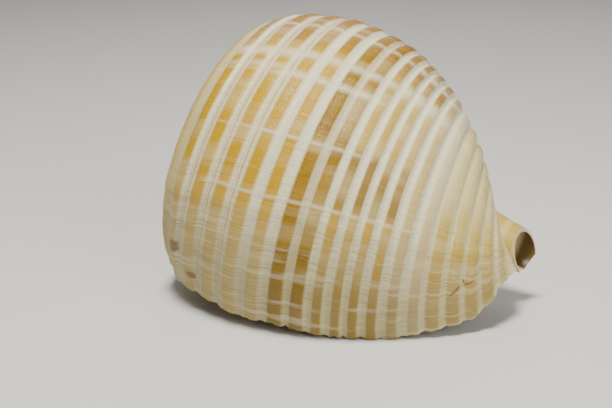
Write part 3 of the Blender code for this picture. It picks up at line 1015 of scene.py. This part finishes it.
# %% [markdown]
# ## The spout
# The growth lines run round the spout as folds of the old notch, and two broad tan bands cross it. It
# could share the outside's material, but there the lines would run the wrong way. So the same group
# of growth lines is fed with the two coordinates exchanged.

# %% Spout
SPOUT_CREAM = paint(222, 206, 140)
SPOUT_TAN = paint(176, 138, 36)
SPOUT_LINE = paint(170, 136, 78)
SPOUT_GRAIN = 0.00012

t, shader, age, rib = new_material("shell_spout", 0.45, 0.3, 0.0)
lines = place_group(t, growth_lines, Age=product(t, rib, 0.02), Rib=product(t, age, 6.0))
uneven = calc(t, "SUBTRACT", noise(t, product(t, age, 5.0), product(t, rib, 1.2)), 0.5)
level = total(t, rib, product(t, uneven, 0.25))
stripes = calc(t, "MAXIMUM", window(t, level, 16.3, 17.2, 0.15), window(t, level, 17.75, 18.35, 0.15))
colour = mix(t, total(t, product(t, stripes, 0.35), 0.45), SPOUT_CREAM, SPOUT_TAN)
colour = mix(t, product(t, step(t, lines["Fine"], 0.5, 0.7), 0.25), colour, SPOUT_LINE)
feed(t, shader.inputs["Base Color"], colour)
set_bump(t, shader, lines["Fine"], SPOUT_GRAIN)
print("spout:", len(t.nodes), "nodes")

# %% [markdown]
# ## The lip's edge
# Where the lip is broken off, the bare chalk of the wall shows, matt and gritty. It has no bands or
# lines, so one noise in the object's own space gives both the mottling and the grain.

# %% Lip edge
CHALK = paint(220, 208, 176)
DULL_CHALK = paint(192, 172, 128)
GRIT_SCALE = 1600.0
LIP_GRAIN = 0.0001

t, shader, age, rib = new_material("shell_lip", 0.6, 0.4, 0.0)
position = t.nodes.new("ShaderNodeTexCoord")
grit = t.nodes.new("ShaderNodeTexNoise")
grit.inputs["Scale"].default_value = GRIT_SCALE
t.links.new(position.outputs["Object"], grit.inputs["Vector"])
colour = mix(t, step(t, grit.outputs["Fac"], 0.35, 0.65), CHALK, DULL_CHALK)
feed(t, shader.inputs["Base Color"], colour)
set_bump(t, shader, grit.outputs["Fac"], LIP_GRAIN)

for slot_number, name in enumerate(SLOTS):
    shell.data.materials[slot_number] = bpy.data.materials[f"shell_{name}"]
print("materials:", [material.name for material in shell.data.materials])

# %% [markdown]
# ## Register the piece
# The real shell is a single piece that nothing moves on. So one object stands in for the one CAD node
# and rides on the one body. Four objects could carry the four finishes, but then the seams would show.

# %% Register the piece
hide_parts("shell")
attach(shell, "root")
print("piece:", shell.name)

# %% [markdown]
# ## Floor
# The shell lies on a plain pale table. A curved backdrop could hide the horizon, but the camera looks
# down steeply enough to see only the floor, so one large square is all it takes.

# %% Floor
FLOOR_SIZE = 4.0
FLOOR_GREY = paint(214, 213, 210)
FLOOR_ROUGHNESS = 0.6

bpy.ops.object.select_all(action="DESELECT")
bpy.ops.mesh.primitive_plane_add(size=FLOOR_SIZE, location=(0.0, 0.0, 0.0))
floor = bpy.context.object
floor.name = "floor"
floor_finish = bpy.data.materials.new("pale_floor")
floor_finish.use_nodes = True
floor.data.materials.append(floor_finish)
floor_shader = floor_finish.node_tree.nodes["Principled BSDF"]
floor_shader.inputs["Base Color"].default_value = FLOOR_GREY
floor_shader.inputs["Roughness"].default_value = FLOOR_ROUGHNESS
print("floor:", FLOOR_SIZE, "m square")

# %% [markdown]
# ## Lights
# The light is that of a small studio. One lamp overhead and towards the front draws the ribs and the
# glints, a large weak one fills from the right, and one behind lifts the rim. A sky could light it
# all, but it would flatten the ribs, so the world only lifts the shadows.

# %% Lights
LIGHT_TARGET = Vector((0.0, 0.0, 0.035))
# (name, place in metres, side in metres, power in watts, colour) of each light.
LIGHTS = [
    ("key_light", (0.02, -0.16, 0.62), 0.16, 6.2, (1.0, 0.97, 0.9)),
    ("fill_light", (0.55, -0.26, 0.32), 0.4, 2.2, (1.0, 0.98, 0.93)),
    ("back_light", (-0.2, 0.55, 0.5), 0.5, 1.0, (1.0, 1.0, 1.0)),
]
WORLD_WHITE = paint(238, 238, 236)
WORLD_STRENGTH = 0.18


def soft_light(name, location, size, power, colour):
    """A square light that faces the middle of the shell."""
    lamp = bpy.data.lights.new(name, "AREA")
    lamp.size = size
    lamp.energy = power
    lamp.color = colour
    holder = bpy.data.objects.new(name, lamp)
    bpy.context.collection.objects.link(holder)
    holder.location = location
    holder.rotation_euler = (LIGHT_TARGET - Vector(location)).to_track_quat("-Z", "Y").to_euler()


for light in LIGHTS:
    soft_light(*light)
world = bpy.data.worlds.new("studio")
bpy.context.scene.world = world
world.use_nodes = True
background = world.node_tree.nodes["Background"]
background.inputs["Color"].default_value = WORLD_WHITE
background.inputs["Strength"].default_value = WORLD_STRENGTH
print("lights:", [name for name, *_ in LIGHTS])

# %% [markdown]
# ## Camera
# The camera looks a little down on the shell from the side of the lip, with a long lens.
# Its place could follow from a constraint on the shell, but a plain matrix says exactly where it is.

# %% Camera
VIEW_FROM = Vector((130.125, -284.676, 119.276)) * MM
VIEW_ALONG = Vector((-0.43124, 0.85355, -0.29237))
VIEW_UP = Vector((-0.13340, 0.26017, 0.95630))
SENSOR_WIDTH = 36.0
FOCAL_LENGTH = 70.54
CLIP_START = 0.01

lens = bpy.data.cameras.new("camera")
lens.sensor_width = SENSOR_WIDTH
lens.lens = FOCAL_LENGTH
lens.clip_start = CLIP_START
camera = bpy.data.objects.new("camera", lens)
bpy.context.collection.objects.link(camera)
right = VIEW_ALONG.cross(VIEW_UP).normalized()
up = right.cross(VIEW_ALONG).normalized()
turned = Matrix((right, up, -VIEW_ALONG.normalized())).transposed().to_4x4()
camera.matrix_world = Matrix.Translation(VIEW_FROM) @ turned
bpy.context.scene.camera = camera
print("camera:", FOCAL_LENGTH, "mm lens,", round(VIEW_FROM.length, 3), "m from the middle of the floor")

# %% Finish
bpy.context.view_layer.update()
